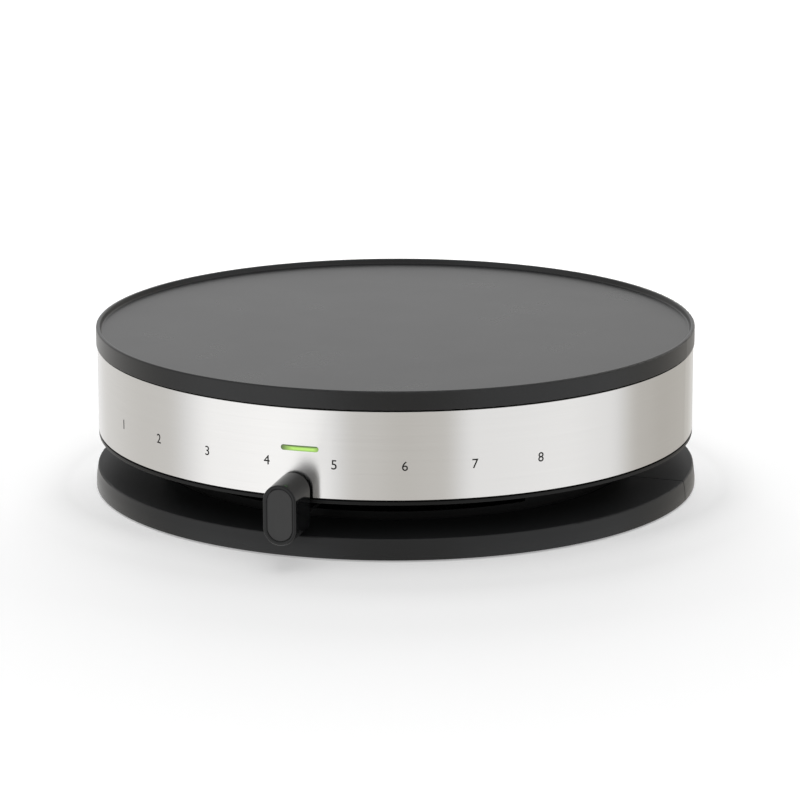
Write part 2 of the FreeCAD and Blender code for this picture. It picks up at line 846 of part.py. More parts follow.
def pedestal_screws():
    """Screws down through the housing floor and up through the deck, into each boss."""
    half = (floor_under_z - base_top_z) / 2 - slip_gap
    screws = []
    for c in pedestal_boss_centres():
        screws.append(pan_screw(c.x, c.y, floor_top_z, floor_under_z - half))
        screws.append(pan_screw(c.x, c.y, deck_under_z, base_top_z + half))
    return screws


def cord_gland():
    """Rubber gland with a flange on each side of the pad and the bore for the mains cord."""
    outer_y = pedestal_radius + gland_pad_proud
    inner_y = outer_y - gland_pad_depth
    t = gland_flange_thickness
    start = Vec(0, inner_y - t, gland_z)
    end = Vec(0, outer_y + t, gland_z)
    body = rod(gland_body_diameter / 2, start, end)
    flanges = [rod(gland_flange_diameter / 2, start, Vec(0, inner_y, gland_z)),
               rod(gland_flange_diameter / 2, Vec(0, outer_y, gland_z), end)]
    return body.fuse(flanges).cut(rod(cord_bore_diameter / 2, start, end))


def base_rim(inner):
    """The base's top wall and outer wall, turned, from the given radius outwards."""
    return lathe([
        (inner, deck_under_z, 0),
        (base_shoulder_radius, deck_under_z, 0),
        (base_inner, deck_under_z - base_rim_fall, 0),
        (base_inner, base_bottom_z, 0),
        (base_radius, base_bottom_z, 0),
        (base_radius, base_bottom_z + base_belly_height, base_belly_round),
        (base_top_radius, base_top_z - base_rim_fall, base_edge_round),
        (base_shoulder_radius, base_top_z, 0),
        (inner, base_top_z, 0),
    ])


def front_space(y_limit):
    reach = base_radius + cut_margin
    return block(-reach, reach, -reach, y_limit, base_bottom_z - cut_margin, base_top_z + cut_margin)


def base_shell():
    """Deck over the whole middle, the rear half of the rim, the drawer's rails and the screw bosses."""
    middle = disc(deck_radius, base_bottom_z - cut_margin, base_top_z + cut_margin)
    drawer_room = front_space(seam_offset + seam_gap).cut(middle)
    shape = base_rim(0).cut(drawer_room)
    root_z = deck_under_z + base_top_wall / 4
    additions = []
    for side in (-1, 1):
        x0, x1 = sorted((side * rail_offset, side * (rail_offset + rail_thickness)))
        additions.append(block(x0, x1, rail_front, rail_back, bottom_plate_z, root_z))
        stop_y = tray_back - tray_ear_length - drawer_travel - 2 * slip_gap
        s0, s1 = sorted((side * (rail_offset - tray_ear_width), side * (rail_offset + fit_gap)))
        additions.append(block(s0, s1, stop_y - tray_ear_length, stop_y, bottom_plate_z, root_z))
    holes = []
    for x, y in base_boss_places():
        additions.append(disc(base_boss_diameter / 2, bottom_plate_z, root_z, x, y))
        holes.append(screw_hole(x, y, bottom_plate_z, deck_under_z))
    for c in pedestal_boss_centres():
        holes.append(screw_hole(c.x, c.y, deck_under_z, base_top_z))
    return shape.fuse(additions).cut(holes)


def bottom_plate():
    """Closes the base from below; smaller in front, where the drawer's wall comes down past it."""
    rear = disc(base_inner - slip_gap, base_bottom_z, bottom_plate_z).cut(front_space(seam_offset + seam_gap))
    shape = rear.fuse(disc(bottom_plate_front_radius, base_bottom_z, bottom_plate_z)).removeSplitter()
    groove = ring(foot_ring_radius - foot_ring_width - fit_gap, foot_ring_radius + fit_gap,
                  base_bottom_z, base_bottom_z + foot_ring_seat)
    holes = [flat_screw_seat(x, y, base_bottom_z, bottom_plate_z)
             for x, y in base_boss_places()]
    return shape.cut([groove] + holes)


def foot_ring():
    """Rubber ring that the appliance stands on, seated in the bottom plate's groove."""
    return ring(foot_ring_radius - foot_ring_width, foot_ring_radius, 0.0, base_bottom_z + foot_ring_seat)


def base_screws():
    return [flat_screw(x, y, base_bottom_z, deck_under_z - slip_gap)
            for x, y in base_boss_places()]


def drawer_runners():
    runners = []
    for side in (-1, 1):
        x = side * runner_offset
        runners.append(block(x - runner_width / 2, x + runner_width / 2, runner_front, runner_back,
                             bottom_plate_z, runner_z))
    return runners


def drawer_boss_centres():
    return [polar(drawer_boss_radius, angle) for angle in drawer_boss_angles]


def drawer_front():
    """The front half of the base's rim, which pulls out, with the bosses that carry the tray."""
    shape = base_rim(deck_radius + seam_gap).common(front_space(seam_offset))
    root_z = deck_under_z + base_top_wall / 4 - base_rim_fall / 2
    bosses = [disc(drawer_boss_diameter / 2, tray_floor_z, root_z, c.x, c.y) for c in drawer_boss_centres()]
    holes = [screw_hole(c.x, c.y, tray_floor_z, deck_under_z - base_rim_fall) for c in drawer_boss_centres()]
    return shape.fuse(bosses).cut(holes)


def drawer_tray():
    """Flat open tray behind the front, with an ear at each rear corner that meets the rail's stop."""
    edge = base_inner - fit_gap
    outer = block(-tray_half, tray_half, -base_radius, tray_back, tray_z, tray_top_z)
    outer = outer.common(disc(edge, tray_z, tray_top_z))
    hollow = block(-tray_half + tray_wall, tray_half - tray_wall, -base_radius, tray_back - tray_wall,
                   tray_floor_z, tray_top_z)
    hollow = hollow.common(disc(edge - tray_wall, tray_floor_z, tray_top_z))
    ears = []
    for side in (-1, 1):
        x0, x1 = sorted((side * (tray_half - fit_gap), side * (tray_half + tray_ear_width)))
        ears.append(block(x0, x1, tray_back - tray_ear_length, tray_back, tray_z, tray_top_z))
    seats = [flat_screw_seat(c.x, c.y, tray_z, tray_floor_z) for c in drawer_boss_centres()]
    return outer.cut(hollow).fuse(ears).cut(seats)


def drawer_screws():
    tip = deck_under_z - base_rim_fall - slip_gap
    return [flat_screw(c.x, c.y, tray_z, tip) for c in drawer_boss_centres()]


def thermostat_body():
    """Ceramic body under the bracket, with a blind bore for the spindle and a tab on each side."""
    shape = disc(thermostat_diameter / 2, thermostat_low_z, bracket_z)
    shape = shape.cut(disc(spindle_diameter / 2 + turning_clearance, thermostat_low_z,
                           thermostat_low_z + spindle_seat_depth))
    holes = [screw_hole(0, y, bracket_z - thermostat_height / 3, bracket_z)
             for y in (-thermostat_screw_offset, thermostat_screw_offset)]
    return shape.cut(holes)


def thermostat_tab_z():
    return bracket_z - thermostat_tab_drop


def thermostat_tabs():
    tabs = []
    for side in (-1, 1):
        root = math.sqrt((thermostat_diameter / 2) ** 2 - (thermostat_tab_width / 2) ** 2)
        x0, x1 = sorted((side * root, side * (thermostat_diameter / 2 + thermostat_tab_length)))
        tab = block(x0, x1, -thermostat_tab_width / 2, thermostat_tab_width / 2,
                    thermostat_tab_z() - terminal_bar_thickness / 2,
                    thermostat_tab_z() + terminal_bar_thickness / 2)
        tabs.append(tab.cut(disc(thermostat_diameter / 2, thermostat_low_z, bracket_z)))
    return tabs


def thermostat_bracket():
    shape = block(-bracket_width / 2, bracket_width / 2, -bracket_length / 2, bracket_length / 2,
                  bracket_z, post_top_z)
    holes = [screw_hole(0, y, bracket_z, post_top_z)
             for y in bracket_screw_ys() + (-thermostat_screw_offset, thermostat_screw_offset)]
    return shape.cut(holes)


def bracket_screws():
    """Two hold the bracket to the plate, two hold the thermostat to the bracket."""
    screws = [pan_screw(0, y, bracket_z, plate_under_z - contact_gap) for y in bracket_screw_ys()]
    for y in (-thermostat_screw_offset, thermostat_screw_offset):
        screws.append(pan_screw(0, y, post_top_z, bracket_z - thermostat_height / 3 + slip_gap))
    return screws


def sensor_pad():
    return disc(sensor_diameter / 2, post_top_z, plate_under_z - contact_gap)


def spindle_flat_cut(z0, z1, clearance):
    y0 = spindle_diameter / 2 - spindle_flat + clearance
    return block(-spindle_diameter, spindle_diameter, y0, spindle_diameter, z0, z1)


def thermostat_spindle():
    """Round spindle from the thermostat down through the floor, with a flat where the hub grips it."""
    shape = disc(spindle_diameter / 2, hub_low_z, thermostat_low_z + spindle_seat_depth - slip_gap)
    return shape.cut(spindle_flat_cut(hub_low_z, hub_top_z, 0.0))


def spindle_bush():
    shape = disc(bush_diameter / 2, floor_under_z, bush_top_z())
    shape = shape.fuse(disc(bush_flange_diameter / 2, floor_under_z - bush_flange_thickness, floor_under_z))
    bore = disc(spindle_diameter / 2 + turning_clearance, floor_under_z - bush_flange_thickness, bush_top_z())
    return shape.cut(bore)


def spindle_clip():
    """Spring clip on the spindle, just above the bush, that carries the lever's weight."""
    z0 = bush_top_z() + fit_gap
    shape = ring(spindle_diameter / 2 + contact_gap, clip_diameter / 2, z0, z0 + clip_thickness)
    opening = spindle_diameter / 3
    return shape.cut(block(-opening, opening, 0, clip_diameter, z0, z0 + clip_thickness))


def lever_hub():
    """Disc keyed to the spindle's flat, slotted for the arm."""
    shape = disc(hub_diameter / 2, hub_low_z, hub_top_z)
    bore = disc(spindle_diameter / 2 + contact_gap, hub_low_z, hub_top_z)
    bore = bore.cut(spindle_flat_cut(hub_low_z, hub_top_z, contact_gap))
    slot_half = arm_width / 2 + contact_gap
    slot = block(-slot_half, slot_half, -hub_diameter, -arm_start + fit_gap,
                 arm_z - contact_gap, arm_z + arm_thickness + contact_gap)
    hole = screw_hole(0, -arm_screw_offset, hub_low_z, hub_top_z - screw_diameter / 2)
    grub = rod(screw_diameter / 2 + screw_clearance, Vec(0, 0, hub_low_z + hub_height / 2),
               Vec(0, hub_diameter, hub_low_z + hub_height / 2))
    return shape.cut([bore, slot, hole, grub])


def lever_arm():
    """Flat bar from the hub, out through the slot in the pedestal and into the knob."""
    end = knob_root + arm_depth_in_knob
    shape = block(-arm_width / 2, arm_width / 2, -end, -arm_start, arm_z, arm_z + arm_thickness)
    holes = [screw_hole(0, -arm_screw_offset, arm_z, arm_z + arm_thickness),
             screw_hole(0, -knob_root - knob_screw_offset, arm_z, arm_z + arm_thickness)]
    return shape.cut(holes)


def lever_screws():
    """One screw up through hub and arm, one grub screw on the spindle's flat, one up into the knob."""
    hub_screw = pan_screw(0, -arm_screw_offset, hub_low_z, hub_top_z - screw_diameter / 2 - slip_gap)
    grub_z = hub_low_z + hub_height / 2
    grub_tip = Vec(0, spindle_diameter / 2 - spindle_flat + contact_gap, grub_z)
    grub_end = Vec(0, hub_diameter / 2 - slip_gap, grub_z)
    grub = rod(screw_diameter / 2, grub_tip, grub_end)
    y = -knob_root - knob_screw_offset
    knob_screw = pan_screw(0, y, knob_screw_seat_z(), arm_z + arm_thickness + screw_diameter)
    return [hub_screw, grub, knob_screw]


def knob_screw_seat_z():
    return arm_z - screw_diameter


def knob():
    """Upright handle, a half round above and below, whose back rises a little towards the band."""
    face_wire = obround(knob_width, knob_height, -knob_face, knob_z)
    root_wire = obround(knob_width, knob_height + knob_root_rise, -knob_root, knob_z + knob_root_rise / 2)
    shape = Part.makeLoft([root_wire, face_wire], True, True)
    shape = shape.makeFillet(knob_edge_round, edges_at(shape, -knob_face))
    outer_edges = len(edges_at(shape, -knob_face))
    inner_width = knob_width - 2 * knob_border
    inner_height = knob_height - 2 * knob_border
    pocket = prism(obround(inner_width, inner_height, -knob_face, knob_z),
                   knob_panel_thickness + knob_panel_recess)
    shape = shape.cut(pocket)
    inner_edges = [e for e in edges_at(shape, -knob_face)
                   if all(abs(v.Point.x) < inner_width / 2 + fit_gap for v in e.Vertexes)]
    if len(inner_edges) != outer_edges:
        print("CHECK knob has", len(inner_edges), "inner and", outer_edges, "outer edges")
    shape = shape.makeChamfer(knob_inner_chamfer, inner_edges)
    slot = block(-arm_width / 2 - contact_gap, arm_width / 2 + contact_gap,
                 -knob_root - arm_depth_in_knob - fit_gap, -knob_root,
                 arm_z - contact_gap, arm_z + arm_thickness + contact_gap)
    y = -knob_root - knob_screw_offset
    hole = screw_hole(0, y, knob_low_z, arm_z + arm_thickness + screw_diameter + slip_gap)
    well = disc(screw_head_diameter / 2 + fit_gap, knob_low_z - cut_margin, knob_screw_seat_z(), 0, y)
    return shape.cut([slot, hole, well])


def knob_panel():
    """Face plate let into the knob, below its chamfered border."""
    width = knob_width - 2 * knob_border - 2 * fit_gap
    height = knob_height - 2 * knob_border - 2 * fit_gap
    front = -knob_face + knob_panel_recess
    shape = prism(obround(width, height, front, knob_z), knob_panel_thickness)
    return shape.makeFillet(knob_panel_round, edges_at(shape, front))


def pole_xs():
    return (-pole_pitch, 0.0, pole_pitch)


def pole_z():
    return floor_top_z + floor_thickness + pole_height


def terminal_block():
    """Three poles in a row, each bored from back to front, with a screw well from above."""
    low = floor_top_z + floor_thickness
    back = block_front + block_depth
    shape = block(-block_length / 2, block_length / 2, block_front, back, low, low + block_height)
    mid_y = block_front + block_depth / 2
    holes = []
    for x in pole_xs():
        holes.append(rod(pole_bore / 2, Vec(x, mid_y, pole_z()), Vec(x, back, pole_z())))
        holes.append(screw_hole(x, mid_y + block_depth / 4, pole_z(), low + block_height))
    for x in (-block_screw_x(), block_screw_x()):
        holes.append(screw_hole(x, mid_y, low, low + block_height))
        head_hole = screw_head_diameter / 2 + fit_gap
        holes.append(disc(head_hole, low + block_height / 2, low + block_height, x, mid_y))
    return shape.cut(holes)


def block_screws():
    """Two through the block into the floor, and one clamping screw in each pole."""
    low = floor_top_z + floor_thickness
    mid_y = block_front + block_depth / 2
    screws = [pan_screw(x, mid_y, low + block_height / 2, floor_under_z + slip_gap)
              for x in (-block_screw_x(), block_screw_x())]
    for x in pole_xs():
        screws.append(disc(screw_diameter / 2, pole_z() + slip_gap, low + block_height - slip_gap,
                           x, mid_y + block_depth / 4))
    return screws


def cord_clamp():
    """Saddle over the place where the cord lies, inside the housing."""
    low = floor_top_z + floor_thickness
    y0 = cord_clamp_front
    y1 = y0 + cord_clamp_depth
    shape = block(-cord_clamp_length / 2, cord_clamp_length / 2, y0, y1, low, low + cord_clamp_height)
    r = cord_bore_diameter / 2
    arch = rod(r, Vec(0, y0, low + r / 2), Vec(0, y1, low + r / 2))
    throat = block(-r, r, y0, y1, low, low + r / 2)
    holes = [screw_hole(side * cord_clamp_screw_offset, (y0 + y1) / 2, low, low + cord_clamp_height)
             for side in (-1, 1)]
    return shape.cut([arch, throat] + holes)


def cord_clamp_screws():
    low = floor_top_z + floor_thickness
    y = cord_clamp_front + cord_clamp_depth / 2
    return [pan_screw(side * cord_clamp_screw_offset, y, low + cord_clamp_height, floor_under_z + slip_gap)
            for side in (-1, 1)]


def fuse_z():
    return post_top_z - fuse_diameter / 2 - fuse_sleeve_wall - contact_gap


def fuse_boss_centre():
    return (fuse_x + fuse_diameter + clamp_boss_diameter / 2, fuse_front + fuse_length / 2)


def thermal_fuse():
    back = fuse_front + fuse_length
    return rod(fuse_diameter / 2, Vec(fuse_x, fuse_front, fuse_z()), Vec(fuse_x, back, fuse_z()))


def fuse_sleeve():
    start = Vec(fuse_x, fuse_front, fuse_z())
    end = Vec(fuse_x, fuse_front + fuse_length, fuse_z())
    outer = rod(fuse_diameter / 2 + fuse_sleeve_wall, start, end)
    return outer.cut(rod(fuse_diameter / 2 + contact_gap, start, end))


def fuse_clip():
    """Strap under the sleeve, screwed to a boss beside it, that holds the fuse up to the plate's heat."""
    boss_x, boss_y = fuse_boss_centre()
    radius = fuse_diameter / 2 + fuse_sleeve_wall + contact_gap
    t = terminal_bar_thickness
    y0 = boss_y - fuse_clip_width / 2
    y1 = boss_y + fuse_clip_width / 2
    low_half = block(fuse_x - 2 * radius, fuse_x + 2 * radius, y0, y1, fuse_z() - 2 * radius, fuse_z())
    saddle = rod(radius + t, Vec(fuse_x, y0, fuse_z()), Vec(fuse_x, y1, fuse_z())).common(low_half)
    side = block(fuse_x + radius, fuse_x + radius + t, y0, y1, fuse_z() - contact_gap, post_top_z)
    foot = block(fuse_x + radius, boss_x + clamp_boss_diameter / 2, y0, y1, post_top_z - t, post_top_z)
    hole = screw_hole(boss_x, boss_y, post_top_z - t, post_top_z)
    nest = rod(radius, Vec(fuse_x, y0, fuse_z()), Vec(fuse_x, y1, fuse_z()))
    return saddle.fuse([side, foot]).cut([nest, hole])


def fuse_screw():
    x, y = fuse_boss_centre()
    return pan_screw(x, y, post_top_z - terminal_bar_thickness, plate_under_z - contact_gap)


def earth_tag():
    t = terminal_bar_thickness
    tag = disc(clamp_boss_diameter / 2, post_top_z - t, post_top_z, earth_x, earth_y)
    tail = block(earth_x - thermostat_tab_width / 2, earth_x + thermostat_tab_width / 2,
                 earth_y - 2 * thermostat_tab_width, earth_y, post_top_z - t, post_top_z)
    return tag.fuse(tail).cut(screw_hole(earth_x, earth_y, post_top_z - t, post_top_z))


def earth_screw():
    return pan_screw(earth_x, earth_y, post_top_z - terminal_bar_thickness, plate_under_z - contact_gap)


def thermostat_tab_end():
    return thermostat_diameter / 2 + thermostat_tab_length + contact_gap


def bar_lead_end(side, x):
    """Where a lead meets the lower edge of a terminal bar's tab, from below."""
    return Vec(side * x, terminal_bar_y() - terminal_bar_thickness / 2, terminal_tab_end_z() - contact_gap)


def live_leads():
    """From the terminal block to the fuse, and from the fuse to the thermostat."""
    fuse_end = fuse_front + fuse_length
    aside, behind = live_lead_way
    first = lead([
        Vec(pole_pitch, block_front - contact_gap, pole_z()),
        Vec(pole_pitch, block_front - lead_exit, pole_z()),
        Vec(fuse_x - aside, fuse_end + behind, pole_z() + block_lead_rise),
        Vec(fuse_x, fuse_end + fuse_lead_exit, fuse_z()),
        Vec(fuse_x, fuse_end + contact_gap, fuse_z()),
    ], lead_diameter, "live lead")
    second = lead([
        Vec(fuse_x, fuse_front - contact_gap, fuse_z()),
        Vec(fuse_x, fuse_front - lead_exit, fuse_z()),
        Vec(thermostat_tab_end() + lead_exit, 0, thermostat_tab_z()),
        Vec(thermostat_tab_end(), 0, thermostat_tab_z()),
    ], lead_diameter, "fuse lead")
    return [first, second]


def switched_lead():
    """From the thermostat to the left terminal bar."""
    bar_end = bar_lead_end(-1, terminal_tab_x() - terminal_tab_width / 4)
    out, ahead, below = thermostat_lead_way
    aside, before, under = switched_lead_way
    return lead([
        Vec(-thermostat_tab_end(), 0, thermostat_tab_z()),
        Vec(-thermostat_tab_end() - lead_exit, 0, thermostat_tab_z()),
        Vec(-thermostat_tab_end() - out, bar_end.y - ahead, bar_end.z - below),
        Vec(bar_end.x - aside, bar_end.y - before, bar_end.z - under),
        bar_end - UP * lead_exit,
        bar_end,
    ], lead_diameter, "switched lead")


def neutral_lead():
    """From the middle pole to the right terminal bar."""
    bar_end = bar_lead_end(1, terminal_tab_x() - terminal_tab_width / 4)
    return lead([
        Vec(0, block_front - contact_gap, pole_z()),
        Vec(0, block_front - lead_exit, pole_z()),
        Vec(bar_end.x, bar_end.y, pole_z() + neutral_lead_rise),
        bar_end,
    ], lead_diameter, "neutral lead")


def earth_lead():
    """From the left pole up to the tail of the earth tag."""
    tail_z = post_top_z - terminal_bar_thickness - contact_gap
    tail_end = Vec(earth_x, earth_y - 1.5 * thermostat_tab_width, tail_z)
    aside, behind, rise = earth_lead_way
    return lead([
        Vec(-pole_pitch, block_front - contact_gap, pole_z()),
        Vec(-pole_pitch, block_front - lead_exit, pole_z()),
        Vec(tail_end.x + aside, tail_end.y + behind, pole_z() + rise),
        tail_end - UP * lead_exit,
        tail_end,
    ], lead_diameter, "earth lead")


def lamp_leads():
    """Two thin leads over the housing floor, from the lamp to the terminal bars."""
    lying_z = floor_top_z + lamp_lead_diameter / 2 + contact_gap
    out_x = holder_half_length() + lamp_lead_exit
    aside, before, rise = lamp_lead_end
    leads = []
    for side in (-1, 1):
        bar_end = bar_lead_end(side, terminal_tab_x() + terminal_tab_width / 4)
        points = [Vec(side * lamp_length / 2, lamp_y(), lens_z), Vec(side * out_x, lamp_y(), lens_z)]
        for out, back, up in lamp_lead_way:
            points.append(Vec(side * (out_x + out), lamp_y() + back, lying_z + up))
        points.append(Vec(bar_end.x + side * aside, bar_end.y - before, lying_z + rise))
        points.append(bar_end - UP * lead_exit)
        points.append(bar_end)
        leads.append(lead(points, lamp_lead_diameter, "lamp lead"))
    return leads


MAKERS = (
    cooking_plate, heating_elements, terminal_bars, element_clamps, clamp_screws,
    plate_posts, plate_screws, heat_reflector, trim_band, lower_housing,
    indicator_lens, lamp_holder, indicator_lamp, pedestal_ring, pedestal_screws, cord_gland,
    base_shell, bottom_plate, foot_ring, base_screws, drawer_runners,
    drawer_front, drawer_tray, drawer_screws,
    thermostat_body, thermostat_tabs, thermostat_bracket, bracket_screws, sensor_pad,
    thermostat_spindle, spindle_bush, spindle_clip,
    lever_hub, lever_arm, lever_screws, knob, knob_panel,
    terminal_block, block_screws, cord_clamp, cord_clamp_screws,
    thermal_fuse, fuse_sleeve, fuse_clip, fuse_screw, earth_tag, earth_screw,
    live_leads, switched_lead, neutral_lead, earth_lead, lamp_leads,
)

# These turn with the lever
LEVER_MAKERS = (thermostat_spindle, spindle_clip, lever_hub, lever_arm, lever_screws, knob, knob_panel)


def main():
    for maker in MAKERS:
        made = maker()
        shape = Part.makeCompound(made) if isinstance(made, list) else made
        if maker in LEVER_MAKERS:
            shape = turned_about(shape, lever_rest_turn)
        wanted = len(made) if isinstance(made, list) else 1
        if len(shape.Solids) != wanted or not shape.isValid():
            print("CHECK", maker.__name__, "has", len(shape.Solids), "solids, valid", shape.isValid())
        shape.exportStep("parts/" + maker.__name__ + ".step")
    print("cooking surface at", round(cooking_z, 2), "total height", round(plate_top_z, 2))


main()
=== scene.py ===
"""Looks, lights and camera for the electric crepe maker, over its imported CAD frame."""
import math

import bmesh
import bpy
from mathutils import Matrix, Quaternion, Vector


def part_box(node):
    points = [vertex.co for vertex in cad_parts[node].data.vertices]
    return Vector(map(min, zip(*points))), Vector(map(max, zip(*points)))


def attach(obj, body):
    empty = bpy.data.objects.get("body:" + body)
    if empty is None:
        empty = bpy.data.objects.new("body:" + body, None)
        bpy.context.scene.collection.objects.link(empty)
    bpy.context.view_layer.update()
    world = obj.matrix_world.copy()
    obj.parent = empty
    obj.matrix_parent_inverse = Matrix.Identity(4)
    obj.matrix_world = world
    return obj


# Camera, worked out from the edges of plate, band and base in the photograph, in metres
LENS_MM = 167.53
SENSOR_MM = 36.0
CLIP_END = 50
CAMERA_DISTANCE = 2.3811
CAMERA_AZIMUTH = math.radians(17.43)
CAMERA_ELEVATION = math.radians(14.067)
CAMERA_ROLL = math.radians(-0.12)
AIM_RIGHT = 0.00284
AIM_HEIGHT = 0.0514

# World: even soft light for matt surfaces, and zones that only polished surfaces show.
# Each zone is an angle in degrees from the camera's side and a brightness: soft boxes are
# bright, the gaps between them darker.
WORLD_SOFT_LEVEL = 0.55
STUDIO_ZONES = (
    (-180, 0.96), (-165, 0.92), (-145, 0.81), (-110, 0.735), (-99, 0.75), (-72, 1.26),
    (-45, 1.33), (-34, 1.29), (-13, 0.745), (3, 0.67), (17, 0.70), (31, 1.07), (68, 1.12),
    (88, 1.05), (108, 0.62), (125, 0.56), (148, 0.56), (165, 0.74), (180, 0.96),
)
STUDIO_PEAK = 1.4
# Zones from the first level down to the second take on the tint
SHADE_LEVELS = (0.95, 0.55)
SHADE_TINT = (1.04, 1.0, 0.93, 1.0)
# From the sines of two heights, the zones fade into the darker air above and into the ceiling
AIR_RISE = (-0.16, 0.10)
AIR_SHARE = 0.35
AIR_LEVEL = 0.49
CEILING_RISE = (0.45, 0.9)
CEILING_LEVEL = 0.80

# Lamps: name, place, size, watts
LAMPS = (
    ("overhead_box", (-0.25, 0.60, 2.2), 1.8, 22.0),
    ("back_box", (-0.60, 1.90, 0.85), 1.5, 26.0),
    ("front_box", (0.90, -2.30, 1.60), 1.2, 9.0),
)
LAMP_AIM = Vector((0, 0, 0.05))

# Floor: a glow that only the camera sees whitens it, more with the distance from the axis
FLOOR_SIZE = 9.0
FLOOR_GREY = 0.80
FLOOR_GLOW = 0.145
FAR_FLOOR_GLOW = 0.40
GLOW_RISE = (0.32, 1.0)
LAST_GLOW = 0.30
LAST_GLOW_RISE = (1.2, 2.6)
# The contact shadow is lifted in a narrow ring, and in a wider one on the camera's side
RING_LIFT = 0.17
RING_FALL = (0.212, 0.192)
FRONT_LIFT = 0.18
FRONT_FALL = (0.245, 0.190)
FRONT_START = (0.05, 0.15)

# Printed scale on the band
NUMERALS = "12345678"
NUMERAL_STEP = math.radians(12.77)
NUMERAL_HEIGHT = 0.0058
NUMERAL_CENTRE_Z = 0.0585
NUMERAL_PROUD = 0.00004
NUMERAL_DEPTH = 0.00012
MERGE_DISTANCE = 1e-7
# In the typeface's own units
DIGIT_EXTRUSION = 0.01
DIGIT_BOLDNESS = 0.004
DIGIT_CURVE_STEPS = 8

# Half of the indicator lens's height, over which its light is spread
LENS_HALF_HEIGHT = 0.0016


class Socket:
    """An output socket. Arithmetic on it adds Math nodes to the same tree."""

    def __init__(self, nodes, output):
        self.nodes = nodes
        self.output = output

    def __add__(self, other):
        return self.nodes.maths("ADD", self, other)

    def __radd__(self, other):
        return self.nodes.maths("ADD", other, self)

    def __sub__(self, other):
        return self.nodes.maths("SUBTRACT", self, other)

    def __rsub__(self, other):
        return self.nodes.maths("SUBTRACT", other, self)

    def __mul__(self, other):
        return self.nodes.maths("MULTIPLY", self, other)

    def __rmul__(self, other):
        return self.nodes.maths("MULTIPLY", other, self)


class Nodes:
    """Makes the nodes of one tree."""

    def __init__(self, tree):
        self.tree = tree
        tree.nodes.clear()

    def node(self, kind, settings=None, sockets=None, output=0):
        """Adds a node: its settings first, then a value or a link for each named socket."""
        node = self.tree.nodes.new(kind)
        for name, value in (settings or {}).items():
            if name == "stops":
                self.set_stops(node.color_ramp, value)
            else:
                setattr(node, name, value)
        for name, value in (sockets or {}).items():
            if isinstance(value, Socket):
                self.tree.links.new(value.output, node.inputs[name])
            else:
                node.inputs[name].default_value = value
        return Socket(self, node.outputs[output]) if len(node.outputs) else None

    def set_stops(self, ramp, stops):
        while len(ramp.elements) < len(stops):
            ramp.elements.new(1.0)
        for element, (position, colour) in zip(ramp.elements, stops):
            element.position = position
            element.color = colour

    def maths(self, operation, first, second):
        return self.node("ShaderNodeMath", {"operation": operation}, {0: first, 1: second})

    def place(self):
        return self.node("ShaderNodeTexCoord", output="Object")

    def stretched(self, place, scale):
        return self.node("ShaderNodeMapping", sockets={"Vector": place, "Scale": scale})

    def noise(self, place, scale, detail=3.0, roughness=0.5):
        return self.node("ShaderNodeTexNoise", sockets={
            "Vector": place, "Scale": scale, "Detail": detail, "Roughness": roughness})

    def waves(self, place, scale, distortion):
        return self.node("ShaderNodeTexWave", {"bands_direction": "DIAGONAL"}, {
            "Vector": place, "Scale": scale, "Distortion": distortion}, output="Fac")

    def contrast(self, value, low, high):
        """Spreads the part of a value between low and high over 0 to 1."""
        return self.node("ShaderNodeMapRange", {"clamp": True}, {
            "Value": value, "From Min": low, "From Max": high, "To Min": 0.0, "To Max": 1.0})

    def between(self, factor, first, second):
        """The first colour where the factor is 0, the second where it is 1."""
        return self.node("ShaderNodeMix", {"data_type": "RGBA"}, {
            0: factor, 6: first, 7: second}, output=2)

    def bump(self, height, distance, strength=1.0):
        return self.node("ShaderNodeBump", sockets={
            "Height": height, "Distance": distance, "Strength": strength})

    def facing_up(self):
        """How far the surface faces up, from 0 to 1."""
        normal = self.node("ShaderNodeTexCoord", output="Normal")
        return self.maths("MAXIMUM", self.parts_of(normal)[2], 0.0)

    def background(self, colour, strength):
        return self.node("ShaderNodeBackground", sockets={"Color": colour, "Strength": strength})

    def parts_of(self, vector):
        split = self.node("ShaderNodeSeparateXYZ", sockets={"Vector": vector})
        outputs = split.output.node.outputs
        return [Socket(self, outputs[axis]) for axis in ("X", "Y", "Z")]


def rgb(red, green, blue):
    return (red, green, blue, 1.0)


def grey(level, warmth=0.0):
    return rgb(level * (1 + warmth), level, level * (1 - warmth))


def finish(name, look):
    """A material whose Principled sockets come from the look function."""
    material = bpy.data.materials.new(name)
    material.use_nodes = True
    nodes = Nodes(material.node_tree)
    shader = nodes.node("ShaderNodeBsdfPrincipled", sockets=look(nodes))
    nodes.node("ShaderNodeOutputMaterial", sockets={"Surface": shader})
    return material


def brushed_band(nodes):
    """Steel brushed along the band: its reflections stay sharp sideways and spread up and down."""
    place = nodes.place()
    fine = nodes.noise(nodes.stretched(place, (12, 12, 3600)), 1.0, 4.0, 0.65)
    broad = nodes.noise(nodes.stretched(place, (4, 4, 500)), 1.0, 3.0, 0.6)
    streaks = fine * 0.75 + broad * 0.25
    darker, lighter = rgb(0.697, 0.690, 0.680), rgb(0.727, 0.720, 0.710)
    return {"Base Color": nodes.between(nodes.contrast(streaks, 0.34, 0.66), darker, lighter),
            "Metallic": 1.0, "Roughness": 0.16 + streaks * 0.06,
            "Anisotropic": 0.9, "Anisotropic Rotation": 0.25,
            "Normal": nodes.bump(fine, 0.00001, 0.08)}


